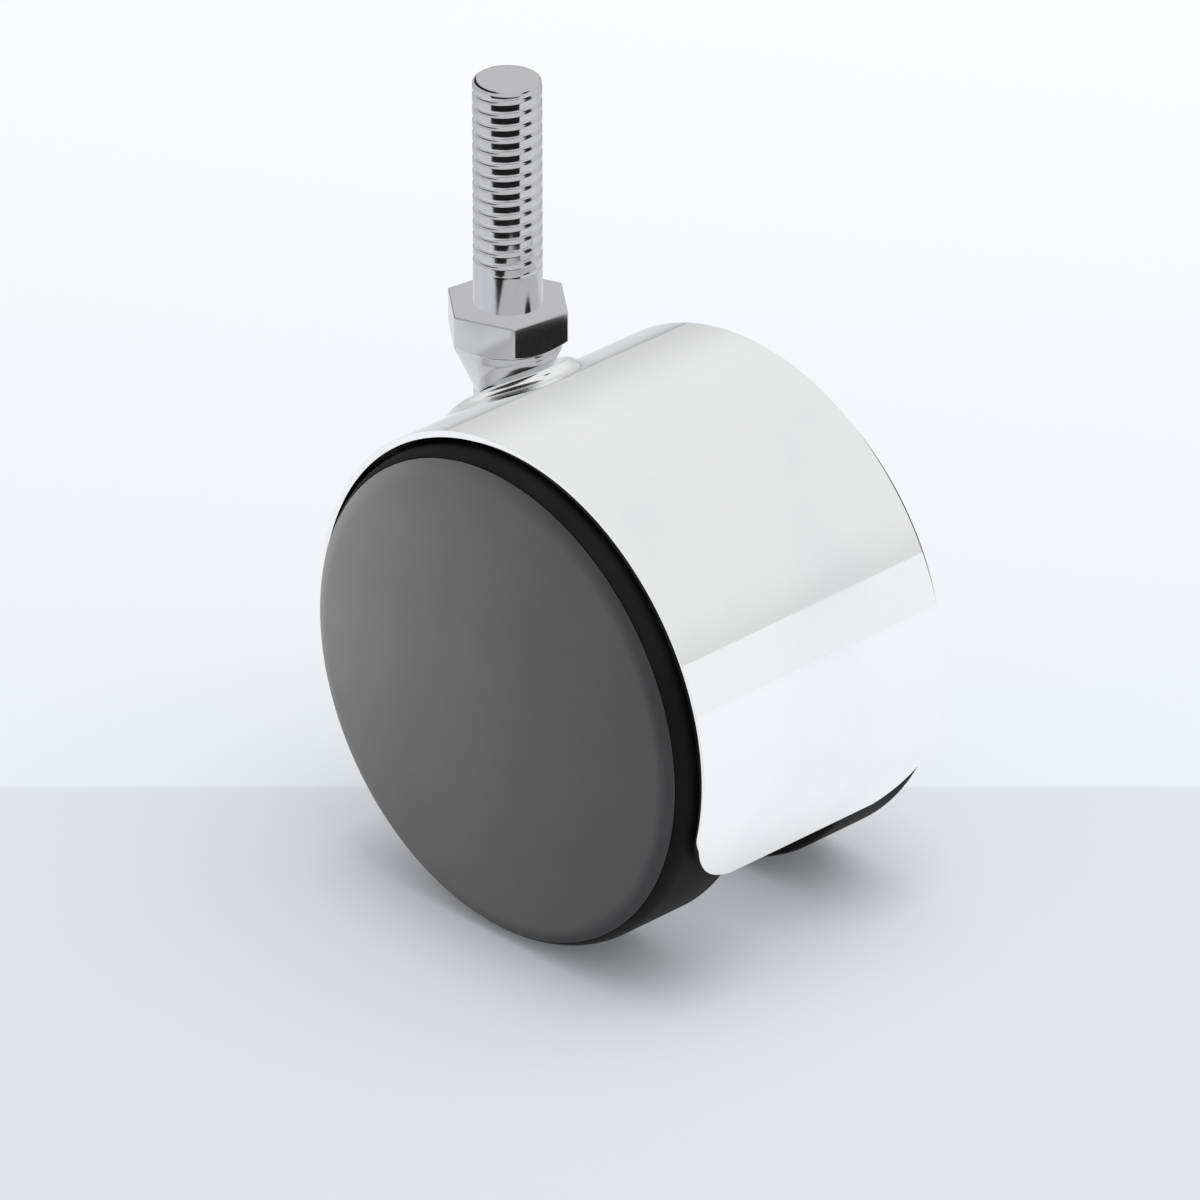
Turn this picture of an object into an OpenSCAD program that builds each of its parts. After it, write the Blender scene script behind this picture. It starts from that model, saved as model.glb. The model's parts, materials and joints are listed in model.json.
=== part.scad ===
// Twin wheel castor with a chromed hood and a threaded stem.
// The origin is on the swivel axis, at the seat face on top of the stem's hexagon. +Z runs up the
// stem, +X points back along the trail and the axle runs along Y. The left wheel is on the -Y side.
// The stem's thread is drawn at its full outer diameter.

/* [Wheels] */
// Diameter of each wheel over its tread
wheel_d = 60; // [56:1:76]
// Width of each wheel
wheel_w = 12.8; // [11.6:0.2:15]
// Round between the tread and the outer face
face_round = 3; // [1.5:0.25:4]
// Round between the tread and the inner side
inner_round = 0.6; // [0.4:0.1:2]
// Wall of the rim
rim_t = 4.6; // [3.5:0.1:6]
// Thickness of the wheel's web
web_t = 2; // [1.4:0.2:2.6]
// Outer diameter of the hub
hub_d = 14; // [12:0.5:18]
// Number of ribs on the inner side of the web
rib_count = 8; // [5:1:12]
// Thickness of each rib
rib_t = 1.6; // [1:0.2:2.4]
// Step from the wheel's inner side to the ribs
rib_inset = 1; // [0.6:0.1:2]

/* [Wheel covers] */
// Thickness of the cover's face
cover_t = 1.8; // [1.2:0.1:2.2]
// Straight strip of tread on the cover, between its round and the seam
seam_strip = 0.4; // [0.2:0.1:1]
// Depth of the ring on the back of the cover
spigot_h = 1.5; // [1:0.1:2]
// Wall of the ring on the back of the cover
spigot_t = 1.2; // [0.8:0.1:2]

/* [Axle] */
// Diameter of the axle
axle_d = 6; // [5:0.25:7]
// Depth of the clip grooves in the axle
axle_groove = 0.6; // [0.4:0.1:0.9]
// Length of axle past each clip
axle_tail = 1.15; // [0.8:0.05:1.4]
// Chamfer on the axle's ends
axle_chamfer = 0.4; // [0.2:0.1:0.6]
// Thickness of the axle clips
clip_t = 0.7; // [0.5:0.1:1]
// Height of the clips above the axle
clip_rise = 2; // [1.4:0.1:2.4]
// Wall of the wheel bushes
bush_wall = 1; // [0.7:0.1:1.5]
// Thickness of the bush flanges
flange_t = 0.8; // [0.5:0.1:1.2]
// Height of the bush flanges above the bush
flange_rise = 1.5; // [1:0.1:2]
// Thickness of the thrust washers
washer_t = 0.5; // [0.4:0.1:1.2]
// Step of the washers past the bush flanges
washer_step = 0.5; // [0.3:0.1:1]

/* [Stem] */
// Outer diameter of the threaded shank
stem_d = 7.94; // [6:0.01:9]
// Length of the shank above the seat face
stem_len = 28; // [18:0.1:40]
// Radius of the round at the tip
tip_round = 0.5; // [0.3:0.1:1.6]
// Size of the hexagon across its flats
hex_af = 13; // [12.8:0.1:15]
// Height of the hexagon
hex_h = 4.4; // [3.6:0.1:5]
// Turn of the hexagon, from a corner at the back
hex_turn = 22; // [0:1:59]
// Slope of the chamfer under the hexagon
hex_chamfer_deg = 30; // [20:1:40]
// Step from the flats to the round under the hexagon
hex_step = 0.2; // [0.1:0.05:0.5]
// Diameter of the short collar under the hexagon
stub_d = 12.4; // [11:0.1:12.6]
// Height of the short collar under the hexagon
stub_h = 1.2; // [0.8:0.1:1.8]
// Height of the tapered neck
neck_h = 5; // [4:0.1:6]

/* [Swivel] */
// Diameter of the swivel pin
pin_d = 8; // [7:0.25:9]
// Distance from the swivel axis back to the axle
trail = 20; // [17:0.5:22]
// Height of the seat face above the hood at the swivel axis
seat_rise = 11.5; // [11:0.25:16]
// Length of the stem sleeve below its flange
sleeve_len = 14; // [10:0.5:16]
// Wall of the stem sleeve
sleeve_wall = 0.95; // [0.7:0.05:1.5]
// Thickness of the sleeve's flange
sleeve_flange_t = 1; // [0.6:0.1:1.5]
// Height of the sleeve's flange above the sleeve
sleeve_flange_rise = 0.6; // [0.4:0.05:0.8]
// Depth of the sleeve's seat below the lowest side of the horn round it
seat_sink = 0.4; // [0.2:0.1:1]
// Thickness of the snap ring
ring_t = 1; // [0.8:0.1:1.4]
// Depth of the snap ring's groove
ring_groove = 0.6; // [0.4:0.1:0.9]
// Length of pin past the snap ring
pin_tail = 1.6; // [1:0.1:2.5]
// Chamfer at the pin's lower end
pin_chamfer = 0.5; // [0.2:0.1:0.8]
// Diameter of the thrust ball
ball_d = 6.35; // [5:0.05:7]

/* [Hood] */
// Wall of the hood
hood_t = 0.8; // [0.6:0.1:1.2]
// Running gap between the tread and the hood
hood_gap = 0.8; // [0.6:0.1:1.5]
// Distance that each wheel stands out past the hood's edge
face_proud = 3; // [1.5:0.1:4]
// Angle of the hood's front edge, up from the back
front_deg = 171; // [160:1:180]
// Angle of the hood's rear edge, up from the back
rear_deg = -27.5; // [-40:0.5:-10]
// Radius of the hood's front corners
front_corner_r = 2.5; // [1.5:0.25:5]
// Radius of the hood's rear corners
rear_corner_r = 10; // [5:0.5:11]
// Diameter of the raised collar round the stem hole
collar_d = 15; // [14.5:0.5:18]
// Rise of the collar above the hood
collar_rise = 1; // [0.6:0.1:1.4]

/* [Horn] */
// Width of the horn between the washers
horn_w = 15.6; // [14.8:0.2:18]
// Thickness of the horn's middle web
horn_web = 3; // [2:0.25:5]
// Thickness of the band round the horn's outline
horn_band = 2.4; // [1.6:0.2:3.5]
// Wall of the axle boss outside the washers
boss_wall = 1.5; // [1:0.1:2.5]
// Drop of the horn's underside below the axle boss
boss_drop = 1; // [0.6:0.1:2]
// Wall of the stem socket
socket_wall = 2; // [1.5:0.1:2.4]
// Floor of the stem socket under the ball
socket_floor = 3; // [2:0.1:4]
// Direction of the horn's front flank, up from the back
front_normal = 195; // [188:1:205]
// Direction of the horn's rear flank, up from the back
rear_normal = 325; // [315:1:335]
// Length of the snap lugs along the hood
lug_len = 3; // [2:0.1:4]
// Width of the snap lugs
lug_w = 4; // [3:0.1:5]
// Distance of each snap lug from the middle
lug_y = 4; // [3.2:0.1:4.4]
// Angle from the hood's front edge to the snap lugs
lug_deg = 7.5; // [7:0.5:10]

/* [Clearances] */
// Gap of a pressed round fit, on the radius
press_gap = 0.02; // [0.01:0.005:0.03]
// Gap of a turning round fit, on the radius
turn_gap = 0.05; // [0.03:0.005:0.08]
// Gap along the axle between parts that turn
end_gap = 0.1; // [0.05:0.05:0.2]
// Gap round the cover in the wheel and round the horn in the hood
seat_gap = 0.05; // [0.03:0.01:0.1]
// Gap between the axle's ends and the covers
tail_gap = 0.6; // [0.4:0.1:1]
// Gap round the stem's neck in the hood
neck_gap = 0.4; // [0.3:0.05:0.6]
// Gap from the snap ring to the sleeve and to its bore
ring_gap = 0.25; // [0.15:0.05:0.4]
// Gap round the sleeve's flange and the snap lugs
loose_gap = 0.2; // [0.1:0.05:0.4]

/* [Hidden] */
$fn = 96;

left = -1;
right = 1;
// Overlap of united solids and overshoot of cutters
lap = 0.5;

wheel_r = wheel_d / 2;
rim_in_r = wheel_r - rim_t;
spigot_r = rim_in_r - seat_gap;
hub_r = hub_d / 2;

axle_r = axle_d / 2;
bush_in_r = axle_r + turn_gap;
bush_r = bush_in_r + bush_wall;
bush_flange_r = bush_r + flange_rise;
washer_r = bush_flange_r + washer_step;
boss_r = washer_r + boss_wall;
axle_groove_r = axle_r - axle_groove;
clip_r = axle_r + clip_rise;

// Stations along the axle, from the middle outwards
washer_y = horn_w / 2;
flange_y = washer_y + washer_t + end_gap;
wheel_y = flange_y + flange_t;
face_y = wheel_y + wheel_w;
seam_y = face_y - face_round - seam_strip;
cover_y = face_y - cover_t;
axle_end_y = cover_y - tail_gap;
clip_y = axle_end_y - axle_tail - clip_t;
hub_end_y = clip_y - end_gap;
hub_len = hub_end_y - wheel_y;
web_start = hub_len / 2;

hood_in_r = wheel_r + hood_gap;
hood_r = hood_in_r + hood_t;
hood_half_w = face_y - face_proud;
hood_arc_deg = front_deg - rear_deg;
collar_r = collar_d / 2;
horn_r = hood_in_r - seat_gap;

pin_r = pin_d / 2;
stem_r = stem_d / 2;
stub_r = stub_d / 2;
hex_r = hex_af / 2 / cos(30);
hex_round_r = hex_af / 2 - hex_step;
sleeve_in_r = pin_r + turn_gap;
sleeve_r = sleeve_in_r + sleeve_wall;
sleeve_flange_r = sleeve_r + sleeve_flange_rise;
stem_bore_r = sleeve_r + press_gap;
spot_r = sleeve_flange_r + loose_gap;
socket_r = stem_bore_r + socket_wall;
ring_groove_r = pin_r - ring_groove;
ring_r = stem_bore_r - ring_gap;
ball_r = ball_d / 2;
ball_seat_r = ball_r + turn_gap;

// Heights along the swivel axis, from the seat face down
axle_z = -sqrt(hood_r * hood_r - trail * trail) - seat_rise;
stub_z = -hex_h - stub_h;
neck_z = stub_z - neck_h;
sleeve_z = axle_z + sqrt(horn_r * horn_r - pow(trail + spot_r, 2)) - seat_sink;
sleeve_end_z = sleeve_z - sleeve_len;
ring_z = sleeve_end_z - ring_gap - ring_t;
pin_end_z = ring_z - pin_tail;
ball_z = pin_end_z - turn_gap - ball_r;
bore_end_z = pin_end_z - loose_gap;
socket_end_z = ball_z - ball_seat_r - socket_floor;

// Reach of the horn's flanks from the axle
front_reach = horn_r * cos(front_normal - front_deg);
under_reach = boss_r + boss_drop;
span = 2 * wheel_d;

// Places a shape drawn with its z axis along the axle, outwards on the given side
module on_axle(side) {
    translate([trail, 0, axle_z])
        rotate([-90 * side, 0, 0])
            children();
}

// Places a side view, drawn with x to the back and y up, on the axle
module side_view() {
    translate([trail, 0, axle_z])
        rotate([90, 0, 0])
            children();
}

// Places a shape at an angle round the axle, with x outwards and y along the axle
module at_angle(deg) {
    translate([trail, 0, axle_z])
        rotate([0, -deg, 0])
            children();
}

// Flat ring drawn from its inner and outer radius
module ring_2d(inner_r, outer_r) {
    difference() {
        circle(r = outer_r);
        circle(r = inner_r);
    }
}

// Everything on the near side of a straight flank
module half_plane(normal_deg, reach) {
    rotate(normal_deg)
        translate([reach - span, -span / 2])
            square(span);
}

// Corner left over outside a round
module corner_cut(round_r) {
    difference() {
        square(round_r + lap);
        circle(r = round_r);
    }
}

// Rounded tip of the stem, with x as its radius
module stem_tip_section() {
    difference() {
        translate([0, stem_len - tip_round - lap])
            square([stem_r, tip_round + lap]);
        translate([stem_r - tip_round, stem_len - tip_round])
            corner_cut(tip_round);
    }
}

// Stem, hexagon, neck and swivel pin in one turned piece
module threaded_stem() {
    groove_top_z = ring_z + ring_t + end_gap / 2;
    groove_end_z = ring_z - end_gap / 2;
    color("silver") {
        rotate_extrude()
            stem_tip_section();
        rotate_extrude()
            polygon([
                [0, stem_len - tip_round],
                [stem_r, stem_len - tip_round],
                [stem_r, -hex_h / 2],
                [stub_r, -hex_h / 2],
                [stub_r, stub_z],
                [pin_r, neck_z],
                [pin_r, groove_top_z],
                [ring_groove_r, groove_top_z],
                [ring_groove_r, groove_end_z],
                [pin_r, groove_end_z],
                [pin_r, pin_end_z + pin_chamfer],
                [pin_r - pin_chamfer, pin_end_z],
                [0, pin_end_z]
            ]);
        intersection() {
            translate([0, 0, -hex_h])
                rotate(hex_turn)
                    cylinder(h = hex_h, r = hex_r, $fn = 6);
            translate([0, 0, -hex_h])
                cylinder(h = hex_h + lap, r1 = hex_round_r,
                         r2 = hex_round_r + (hex_h + lap) / tan(hex_chamfer_deg));
        }
    }
}

// Open ring in the pin's groove
module stem_snap_ring() {
    ring_mouth = ring_groove_r;
    color("dimgray")
        translate([0, 0, ring_z])
            linear_extrude(ring_t)
                difference() {
                    ring_2d(ring_groove_r + press_gap, ring_r);
                    translate([0, -ring_mouth / 2])
                        square([span, ring_mouth]);
                }
}

// Removes the corner of the hood at one end and one side
module hood_corner(edge_deg, end, side, corner_r) {
    ease = corner_r / 50;
    corner_deg = edge_deg - end * asin((corner_r - ease) / hood_r);
    at_angle(corner_deg)
        translate([hood_in_r - corner_r, side * (hood_half_w - corner_r + ease), 0])
            scale([1, side, end])
                rotate([90, 0, 90])
                    linear_extrude(2 * corner_r)
                        corner_cut(corner_r);
}

// Hollow round the stem's neck and pin, wider by the neck's gap
module neck_hollow() {
    rotate_extrude()
        polygon([
            [0, axle_z],
            [pin_r + neck_gap, axle_z],
            [pin_r + neck_gap, neck_z],
            [stub_r + neck_gap, stub_z],
            [stub_r + neck_gap, span],
            [0, span]
        ]);
}

// Curved shell over the wheels with its raised collar
module hood() {
    color("gainsboro")
        difference() {
            union() {
                side_view()
                    rotate(rear_deg)
                        rotate_extrude(angle = hood_arc_deg)
                            translate([hood_in_r, -hood_half_w])
                                square([hood_t, 2 * hood_half_w]);
                intersection() {
                    translate([0, 0, axle_z])
                        cylinder(h = span, r = collar_r);
                    side_view()
                        linear_extrude(2 * hood_half_w, center = true)
                            ring_2d(hood_in_r + hood_t / 2, hood_r + collar_rise);
                }
            }
            neck_hollow();
            for (side = [left, right]) {
                hood_corner(front_deg, 1, side, front_corner_r);
                hood_corner(rear_deg, -1, side, rear_corner_r);
                snap_lug(side, loose_gap, lap);
            }
        }
}

// Block of one snap lug, grown by a gap for its slot in the hood
module snap_lug(side, gap, over) {
    at_angle(front_deg - lug_deg)
        translate([horn_r - lap, side * lug_y - lug_w / 2 - gap, -lug_len / 2 - gap])
            cube([hood_t + seat_gap + lap - loose_gap + gap + over, lug_w + 2 * gap, lug_len + 2 * gap]);
}

// Straight flanks of the horn, moved inwards by the inset
module horn_flanks(inset) {
    intersection() {
        half_plane(front_normal, front_reach - inset);
        half_plane(270, under_reach - inset);
        half_plane(rear_normal, under_reach - inset);
    }
}

// Side view of the band round the horn and the axle boss
module horn_frame() {
    difference() {
        horn_flanks(0);
        intersection() {
            horn_flanks(horn_band);
            circle(r = horn_r - horn_band);
        }
    }
    circle(r = boss_r);
}

// Hollow for the stem's sleeve and pin, with a round seat for the ball
module socket_hollow() {
    translate([0, 0, bore_end_z])
        cylinder(h = span, r = stem_bore_r);
    translate([0, 0, sleeve_z])
        cylinder(h = span, r = spot_r);
    translate([0, 0, ball_z])
        cylinder(h = bore_end_z - ball_z + lap, r = ball_seat_r);
    translate([0, 0, ball_z])
        sphere(r = ball_seat_r);
}

// Core between the wheels with the stem socket and the axle boss
module horn() {
    color("#2b2b2e") {
        difference() {
            intersection() {
                union() {
                    side_view()
                        linear_extrude(horn_w, center = true)
                            horn_frame();
                    side_view()
                        linear_extrude(horn_web, center = true)
                            horn_flanks(lap);
                    translate([0, 0, socket_end_z])
                        cylinder(h = span, r = socket_r);
                }
                side_view()
                    cylinder(h = span, r = horn_r, center = true);
            }
            side_view()
                cylinder(h = span, r = axle_r + press_gap, center = true);
            socket_hollow();
        }
        for (side = [left, right])
            snap_lug(side, 0, 0);
    }
}

// Flanged bearing sleeve round the swivel pin
module stem_sleeve() {
    color("darkkhaki")
        rotate_extrude() {
            translate([sleeve_in_r, sleeve_end_z])
                square([sleeve_wall, sleeve_len + sleeve_flange_t]);
            translate([sleeve_in_r, sleeve_z])
                square([sleeve_flange_r - sleeve_in_r, sleeve_flange_t]);
        }
}

// Ball that carries the swivel pin's lower end
module thrust_ball() {
    color("lightgray")
        translate([0, 0, ball_z])
            sphere(r = ball_r);
}

// Outline of one half of the axle, with x as its radius
module half_axle_section() {
    difference() {
        polygon([
            [0, -lap],
            [axle_r, -lap],
            [axle_r, axle_end_y - axle_chamfer],
            [axle_r - axle_chamfer, axle_end_y],
            [0, axle_end_y]
        ]);
        translate([axle_groove_r, clip_y - end_gap / 2])
            square([span, clip_t + end_gap]);
    }
}

// Axle with a clip groove near each end
module axle() {
    color("silver")
        for (side = [left, right])
            on_axle(side)
                rotate_extrude()
                    half_axle_section();
}

module thrust_washer(side) {
    color("silver")
        on_axle(side)
            translate([0, 0, washer_y])
                linear_extrude(washer_t)
                    ring_2d(axle_r + turn_gap, washer_r);
}

// Spring clip with an open side and two relief notches
module axle_clip(side) {
    clip_in_r = axle_groove_r + press_gap;
    clip_mouth = 1.6 * clip_in_r;
    notch_r = axle_groove;
    notch_deg = 110;
    color("dimgray")
        on_axle(side)
            translate([0, 0, clip_y])
                linear_extrude(clip_t)
                    difference() {
                        ring_2d(clip_in_r, clip_r);
                        translate([0, -clip_mouth / 2])
                            square([span, clip_mouth]);
                        for (turn = [-notch_deg, notch_deg])
                            rotate(turn)
                                translate([clip_in_r + notch_r / 2, 0])
                                    circle(r = notch_r);
                    }
}

// Section through a wheel, with x as its radius and y from the inner side outwards
module wheel_section() {
    difference() {
        translate([rim_in_r, 0])
            square([rim_t, seam_y - seat_gap - wheel_y]);
        translate([wheel_r - inner_round, inner_round])
            scale([1, -1])
                corner_cut(inner_round);
    }
    translate([hub_r - lap, web_start])
        square([rim_in_r - hub_r + 2 * lap, web_t]);
    translate([bush_r + press_gap, 0])
        square([hub_r - bush_r - press_gap, hub_len]);
}

// Wheel with a rim, a web, ribs on the inner side and a hub
module wheel(side) {
    color("#4a4b4c")
        on_axle(side)
            translate([0, 0, wheel_y]) {
                rotate_extrude()
                    wheel_section();
                for (i = [0 : rib_count - 1])
                    rotate(360 / rib_count * i)
                        translate([hub_r - lap, -rib_t / 2, rib_inset])
                            cube([rim_in_r - hub_r + 2 * lap, rib_t, web_start - rib_inset + lap]);
            }
}

// Flanged bush in the wheel's hub
module wheel_bush(side) {
    color("darkkhaki")
        on_axle(side)
            rotate_extrude() {
                translate([bush_in_r, flange_y])
                    square([bush_wall, flange_t + hub_len]);
                translate([bush_in_r, flange_y])
                    square([bush_flange_r - bush_in_r, flange_t]);
            }
}

// Section through a wheel cover, with x as its radius and y from the middle outwards
module cover_section() {
    hollow_r = spigot_r - spigot_t;
    difference() {
        translate([0, seam_y])
            square([wheel_r, face_y - seam_y]);
        translate([wheel_r - face_round, face_y - face_round])
            corner_cut(face_round);
        translate([0, seam_y - lap])
            square([hollow_r, cover_y - seam_y + lap]);
    }
    translate([hollow_r, seam_y - spigot_h])
        square([spigot_t, spigot_h + seam_strip]);
}

// Plain outer face of the wheel with its rounded edge, held in the rim by a ring
module wheel_cover(side) {
    color("#6a6b6c")
        on_axle(side)
            rotate_extrude()
                cover_section();
}

threaded_stem();
stem_snap_ring();
hood();
horn();
stem_sleeve();
thrust_ball();
axle();
thrust_washer(left);  // left_thrust_washer
thrust_washer(right);  // right_thrust_washer
axle_clip(left);  // left_axle_clip
axle_clip(right);  // right_axle_clip
wheel(left);  // left_wheel
wheel_bush(left);  // left_wheel_bush
wheel_cover(left);  // left_wheel_cover
wheel(right);  // right_wheel
wheel_bush(right);  // right_wheel_bush
wheel_cover(right);  // right_wheel_cover
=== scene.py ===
# %% [markdown]
# # A twin wheel castor
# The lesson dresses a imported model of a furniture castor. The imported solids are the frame: they
# say where everything is, and every piece made here rides on one of their moving bodies. Loading
# the frame first means that nothing has to be fitted by eye later.

# %% Load the frame
import json
import math

import bmesh
import bpy
from mathutils import Matrix, Vector
from mathutils.geometry import delaunay_2d_cdt


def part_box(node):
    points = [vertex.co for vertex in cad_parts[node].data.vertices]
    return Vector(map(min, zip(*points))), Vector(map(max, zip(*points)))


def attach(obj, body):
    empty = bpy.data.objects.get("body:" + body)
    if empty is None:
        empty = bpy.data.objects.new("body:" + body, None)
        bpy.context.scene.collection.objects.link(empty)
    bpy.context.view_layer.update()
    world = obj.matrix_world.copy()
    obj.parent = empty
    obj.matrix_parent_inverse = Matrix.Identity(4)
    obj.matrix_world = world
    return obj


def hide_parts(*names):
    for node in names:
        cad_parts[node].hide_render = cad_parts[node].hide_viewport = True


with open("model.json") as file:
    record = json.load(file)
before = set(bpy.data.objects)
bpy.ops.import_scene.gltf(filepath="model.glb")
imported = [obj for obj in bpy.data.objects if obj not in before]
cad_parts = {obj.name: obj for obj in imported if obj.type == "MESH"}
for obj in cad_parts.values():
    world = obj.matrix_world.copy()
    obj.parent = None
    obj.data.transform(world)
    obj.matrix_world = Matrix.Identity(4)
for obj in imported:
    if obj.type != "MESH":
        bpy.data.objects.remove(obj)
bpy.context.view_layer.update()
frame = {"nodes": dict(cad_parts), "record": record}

print("solids", sorted(frame["nodes"]))

# %% [markdown]
# ## Sizes
# The main sizes are measured on the solids, so the dressed part follows them. Sizes that a box
# doesn't show, such as the thickness of the hood, are written with the piece that needs them, in
# millimetres, with the values that the solids were drawn from.

# %% Measure the solids
MM = 0.001
SIDES = {"left": -1, "right": 1}

wheel_lo, wheel_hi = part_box("left_wheel")
cover_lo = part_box("left_wheel_cover")[0]
hood_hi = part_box("hood")[1]
stem_lo, stem_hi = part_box("threaded_stem")

axle = Vector(((wheel_lo.x + wheel_hi.x) / 2, 0, (wheel_lo.z + wheel_hi.z) / 2))
wheel_r = (wheel_hi.x - wheel_lo.x) / 2
wheel_y = -wheel_hi.y
face_y = -cover_lo.y
hood_r = hood_hi.x - axle.x
hood_half_w = hood_hi.y
stem_len = stem_hi.z
pin_end_z = stem_lo.z
floor_z = axle.z - wheel_r
print("axle", [round(c / MM, 3) for c in axle], "wheel radius", round(wheel_r / MM, 3))
print("hood radius", round(hood_r / MM, 3), "stem length", round(stem_len / MM, 3))

# %% [markdown]
# ## Helpers
# A mesh made from lists of points and faces is the plainest way to build a piece in code. Faces
# that should look round are shaded smooth, and a Bevel modifier gives the hard edges the small
# round that catches the light.

# %% Mesh helpers
SAME_POINT = 0.0005 * MM


def make_piece(name, points, faces):
    mesh = bpy.data.meshes.new(name)
    mesh.from_pydata([tuple(p) for p in points], [], faces)
    work = bmesh.new()
    work.from_mesh(mesh)
    bmesh.ops.remove_doubles(work, verts=work.verts, dist=SAME_POINT)
    bmesh.ops.dissolve_degenerate(work, edges=work.edges, dist=SAME_POINT)
    bmesh.ops.recalc_face_normals(work, faces=work.faces)
    work.to_mesh(mesh)
    work.free()
    mesh.shade_smooth()
    piece = bpy.data.objects.new(name, mesh)
    bpy.context.scene.collection.objects.link(piece)
    return piece


def round_edges(piece, width, segments=3, over_deg=30):
    bevel = piece.modifiers.new("Round edges", "BEVEL")
    bevel.width = width
    bevel.segments = segments
    bevel.limit_method = "ANGLE"
    bevel.angle_limit = math.radians(over_deg)
    bevel.miter_outer = "MITER_ARC"
    bevel.use_clamp_overlap = True
    weighted = piece.modifiers.new("Even shading", "WEIGHTED_NORMAL")
    weighted.keep_sharp = True
    return piece


def finish_piece(piece, body, slot, material, *nodes):
    piece.data.materials.clear()
    piece.data.materials.append(material)
    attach(piece, body)
    if nodes:
        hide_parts(*nodes)
    print(piece.name, len(piece.data.vertices), "points,", len(piece.data.polygons), "faces")
    return piece


# %% [markdown]
# A turned part is a profile swept round an axis. The profile is a list of corners, each with the
# radius of its round, and this helper puts a short arc in place of each corner.

# %% Lathe helpers
ARC_STEPS = 5


def rounded_profile(corners):
    profile = []
    last = len(corners) - 1
    for i, (r, a, round_r) in enumerate(corners):
        here = Vector((r, a))
        if round_r == 0 or i in (0, last):
            profile.append(here)
            continue
        before = (Vector(corners[i - 1][:2]) - here).normalized()
        after = (Vector(corners[i + 1][:2]) - here).normalized()
        half = before.angle(after) / 2
        reach = round_r / math.tan(half)
        centre = here + (before + after).normalized() * (round_r / math.sin(half))
        start, end = here + before * reach - centre, here + after * reach - centre
        sweep = start.angle_signed(end)
        for k in range(ARC_STEPS + 1):
            turn = Matrix.Rotation(-sweep * k / ARC_STEPS, 2)
            profile.append(centre + turn @ start)
    return profile


def turn_on_axle(name, profile, side, steps):
    points, faces = [], []
    count = len(profile)
    for i in range(steps):
        angle = 2 * math.pi * i / steps
        for p in profile:
            points.append(axle + Vector((p.x * math.cos(angle), side * p.y, p.x * math.sin(angle))))
        for k in range(count - 1):
            a, b = i * count + k, (i + 1) % steps * count + k
            faces.append((a, a + 1, b + 1, b))
    return make_piece(name, points, faces)


# %% [markdown]
# ## Shared surface effects
# Two effects come back in several finishes: the fine grain of moulded plastic, and the faint
# smudges of handled metal. Each is a node group, so it is built once and tuned per material.

# %% Node helpers
def link_or_set(tree, socket, value):
    if isinstance(value, bpy.types.NodeSocket):
        tree.links.new(value, socket)
    else:
        socket.default_value = value


def math_node(tree, operation, *values):
    node = tree.nodes.new("ShaderNodeMath")
    node.operation = operation
    for socket, value in zip(node.inputs, values):
        link_or_set(tree, socket, value)
    return node.outputs[0]


def noise_node(tree, vector, scale, detail=2.0):
    node = tree.nodes.new("ShaderNodeTexNoise")
    link_or_set(tree, node.inputs["Vector"], vector)
    link_or_set(tree, node.inputs["Scale"], scale)
    node.inputs["Detail"].default_value = detail
    return node.outputs[0]


def map_range(tree, value, from_lo, from_hi, to_lo, to_hi, smooth=False):
    node = tree.nodes.new("ShaderNodeMapRange")
    node.interpolation_type = "SMOOTHSTEP" if smooth else "LINEAR"
    for socket, number in zip(node.inputs, (value, from_lo, from_hi, to_lo, to_hi)):
        link_or_set(tree, socket, number)
    return node.outputs[0]


def mix_colour(tree, factor, first, second):
    node = tree.nodes.new("ShaderNodeMix")
    node.data_type = "RGBA"
    link_or_set(tree, node.inputs[0], factor)
    link_or_set(tree, node.inputs[6], first)
    link_or_set(tree, node.inputs[7], second)
    return node.outputs[2]


def new_group(name, inputs, outputs):
    group = bpy.data.node_groups.new(name, "ShaderNodeTree")
    for label, kind, value in inputs:
        socket = group.interface.new_socket(name=label, in_out="INPUT", socket_type=kind)
        if value is not None:
            socket.default_value = value
    for label in outputs:
        group.interface.new_socket(name=label, in_out="OUTPUT", socket_type="NodeSocketFloat")
    start = group.nodes.new("NodeGroupInput")
    end = group.nodes.new("NodeGroupOutput")
    return group, start.outputs, end.inputs


# %% Moulded grain and handled metal
moulded_grain, into, out = new_group(
    "Moulded grain",
    [("Vector", "NodeSocketVector", None),
     ("Grain Scale", "NodeSocketFloat", 3000.0),
     ("Mottle Scale", "NodeSocketFloat", 60.0)],
    ["Grain", "Mottle"])
grain = noise_node(moulded_grain, into["Vector"], into["Grain Scale"], 3.0)
mottle = noise_node(moulded_grain, into["Vector"], into["Mottle Scale"], 4.0)
moulded_grain.links.new(grain, out["Grain"])
moulded_grain.links.new(map_range(moulded_grain, mottle, 0.35, 0.65, 0.0, 1.0), out["Mottle"])

handled_metal, into, out = new_group(
    "Handled metal",
    [("Vector", "NodeSocketVector", None),
     ("Smudge Scale", "NodeSocketFloat", 60.0),
     ("Fine Scale", "NodeSocketFloat", 1500.0)],
    ["Smudge", "Fine"])
smudge = noise_node(handled_metal, into["Vector"], into["Smudge Scale"], 5.0)
fine = noise_node(handled_metal, into["Vector"], into["Fine Scale"], 2.0)
handled_metal.links.new(map_range(handled_metal, smudge, 0.45, 0.75, 0.0, 1.0, True), out["Smudge"])
handled_metal.links.new(fine, out["Fine"])
print("groups", [group.name for group in bpy.data.node_groups])

# %% [markdown]
# ## Finishes
# Each material keeps its own shader. The groups only vary its colour, roughness and bump. All
# patterns read Object coordinates, which stay put on the piece when it moves.

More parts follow.
